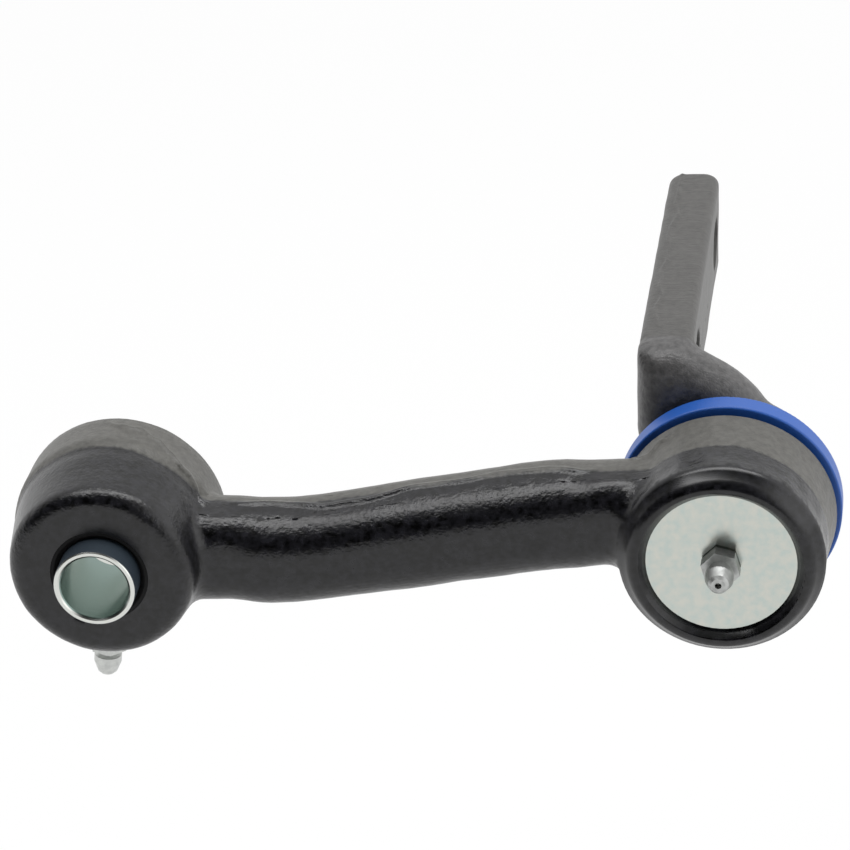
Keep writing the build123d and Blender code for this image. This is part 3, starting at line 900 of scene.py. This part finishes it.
@dataclass
class LinkJoint:
    """The sleeve in the link boss, with its bushes and seals."""

    sleeve: Finish = SLEEVE_ZINC
    bush: Finish = BUSH_BRONZE
    seal: Finish = SEAL_BLACK

    def build(self) -> None:
        """Dresses the link's pieces."""
        dress("link_sleeve", self.sleeve)
        for end in ("front", "rear"):
            dress(f"link_{end}_bush", self.bush)
            dress(f"link_{end}_seal", self.seal)


@dataclass
class GreaseFitting:
    """One grease fitting with the check ball and spring inside it."""

    boss: Boss
    body: Finish
    spring: Finish = RING_STEEL
    ball: Finish = BALL_STEEL

    def build(self) -> None:
        """Dresses the fitting's pieces."""
        dress(f"{self.boss.value}_fitting_body", self.body)
        dress(f"{self.boss.value}_fitting_spring", self.spring)
        dress(f"{self.boss.value}_check_ball", self.ball)


@dataclass
class Studio:
    """Camera, floor and light of the studio.

    The camera's place and turn are those of the photograph. The room is dark at
    the camera's side, white behind the part and brightest to its right, with a
    long soft lamp overhead. The camera itself sees plain white all round.
    """

    lens_mm: float = 173.386
    sensor_mm: float = 36.0
    position_mm: tuple[float, float, float] = (75.0136, -805.5093, 451.0957)
    right: tuple[float, float, float] = (0.988657, 0.127381, -0.079570)
    down: tuple[float, float, float] = (-0.012912, -0.455740, -0.890019)
    ahead: tuple[float, float, float] = (-0.149635, 0.880951, -0.448926)
    centre_px: tuple[float, float] = (436.0245, 406.1656)
    seen_m: tuple[float, float] = (0.01, 20.0)
    floor_z_mm: float = -160.0
    floor_size_m: float = 8.0
    floor_colour: str = "#f4f4f4"
    floor_white: float = 0.9
    back_span: tuple[float, float] = (-0.25, 0.35)
    back_level: tuple[float, float] = (0.004, 1.0)
    right_span: tuple[float, float] = (0.4, 0.9)
    right_level: float = 1.6
    lamp_place_m: tuple[float, float, float] = (-0.05, 0.0, 1.3)
    lamp_target_m: tuple[float, float, float] = (-0.06, 0.03, 0.0)
    lamp_size_m: tuple[float, float] = (1.8, 0.4)
    lamp_watts: float = 14.5

    def camera(self) -> None:
        """Makes the camera at the photograph's viewing angle."""
        data = bpy.data.cameras.new("studio_camera")
        data.lens = self.lens_mm
        data.sensor_width = self.sensor_mm
        data.sensor_fit = "HORIZONTAL"
        data.clip_start, data.clip_end = self.seen_m
        half = FRAME_PIXELS / 2
        data.shift_x = (half - self.centre_px[0]) / FRAME_PIXELS
        data.shift_y = (self.centre_px[1] - half) / FRAME_PIXELS
        camera = bpy.data.objects.new("studio_camera", data)
        axes = Matrix((self.right, [-v for v in self.down], [-v for v in self.ahead])).transposed()
        camera.matrix_world = Matrix.Translation([v * MM for v in self.position_mm]) @ axes.to_4x4()
        bpy.context.scene.collection.objects.link(camera)
        bpy.context.scene.camera = camera

    def floor(self) -> None:
        """Makes the pale floor well below the part."""
        bpy.ops.mesh.primitive_plane_add(size=self.floor_size_m,
                                         location=(0, 0, self.floor_z_mm * MM))
        floor = bpy.context.active_object
        floor.name = "studio_floor"
        material = bpy.data.materials.new("pale_floor")
        material.use_nodes = True
        tree = material.node_tree
        tree.nodes.clear()
        path = add_node(tree, "LightPath")
        matte = add_node(tree, "BsdfDiffuse", Color=linear(self.floor_colour))
        white = add_node(tree, "Emission", Color=(1, 1, 1, 1), Strength=1.0)
        seen = add_node(tree, "Math", {"operation": "MAXIMUM"},
                        i0=path.outputs["Is Camera Ray"], i1=path.outputs["Is Glossy Ray"])
        share = add_node(tree, "Math", {"operation": "MULTIPLY"}, i0=seen.outputs[0],
                         i1=self.floor_white)
        mix = add_node(tree, "MixShader", Fac=share.outputs[0], i1=matte.outputs[0],
                       i2=white.outputs[0])
        add_node(tree, "OutputMaterial", Surface=mix.outputs[0])
        floor.data.materials.append(material)

    def world(self) -> None:
        """Makes the room: its light by direction, and plain white to the camera."""
        world = bpy.data.worlds.new("studio_room")
        bpy.context.scene.world = world
        world.use_nodes = True
        tree = world.node_tree
        tree.nodes.clear()
        where = add_node(tree, "TexCoord")
        split = add_node(tree, "SeparateXYZ", Vector=where.outputs["Generated"])
        back = add_node(tree, "MapRange", SMOOTH, Value=split.outputs[1],
                        From_Min=self.back_span[0], From_Max=self.back_span[1],
                        To_Min=self.back_level[0], To_Max=self.back_level[1])
        right = add_node(tree, "MapRange", SMOOTH, Value=split.outputs[0],
                         From_Min=self.right_span[0], From_Max=self.right_span[1],
                         To_Max=self.right_level)
        level = add_node(tree, "Math", {"operation": "MAXIMUM"}, i0=back.outputs[0],
                         i1=right.outputs[0])
        path = add_node(tree, "LightPath")
        room = add_node(tree, "Background", Color=(1, 1, 1, 1), Strength=level.outputs[0])
        white = add_node(tree, "Background", Color=(1, 1, 1, 1), Strength=1.0)
        mix = add_node(tree, "MixShader", Fac=path.outputs["Is Camera Ray"],
                       i1=room.outputs[0], i2=white.outputs[0])
        add_node(tree, "OutputWorld", Surface=mix.outputs[0])

    def lamp(self) -> None:
        """Makes the soft rectangular lamp overhead, which faces the part."""
        data = bpy.data.lights.new("overhead_strip", "AREA")
        data.shape = "RECTANGLE"
        data.size, data.size_y = self.lamp_size_m
        data.energy = self.lamp_watts
        lamp = bpy.data.objects.new("overhead_strip", data)
        away = Vector(self.lamp_place_m) - Vector(self.lamp_target_m)
        lamp.location = self.lamp_place_m
        lamp.rotation_euler = away.to_track_quat("Z", "Y").to_euler()
        bpy.context.scene.collection.objects.link(lamp)

    def build(self) -> None:
        """Makes the whole studio."""
        self.camera()
        self.floor()
        self.world()
        self.lamp()
        bpy.context.scene.view_settings.view_transform = "Standard"
        log.info("studio built")


def main() -> None:
    """Builds the two forgings, what is fitted in and on them, and the studio."""
    ForgedArm().build()
    ForgedBracket().build()
    PivotJoint().build()
    LinkJoint().build()
    GreaseFitting(Boss.PIVOT, PIVOT_FITTING_ZINC).build()
    GreaseFitting(Boss.LINK, LINK_FITTING_ZINC).build()
    Studio().build()


if __name__ == "__main__":
    main()
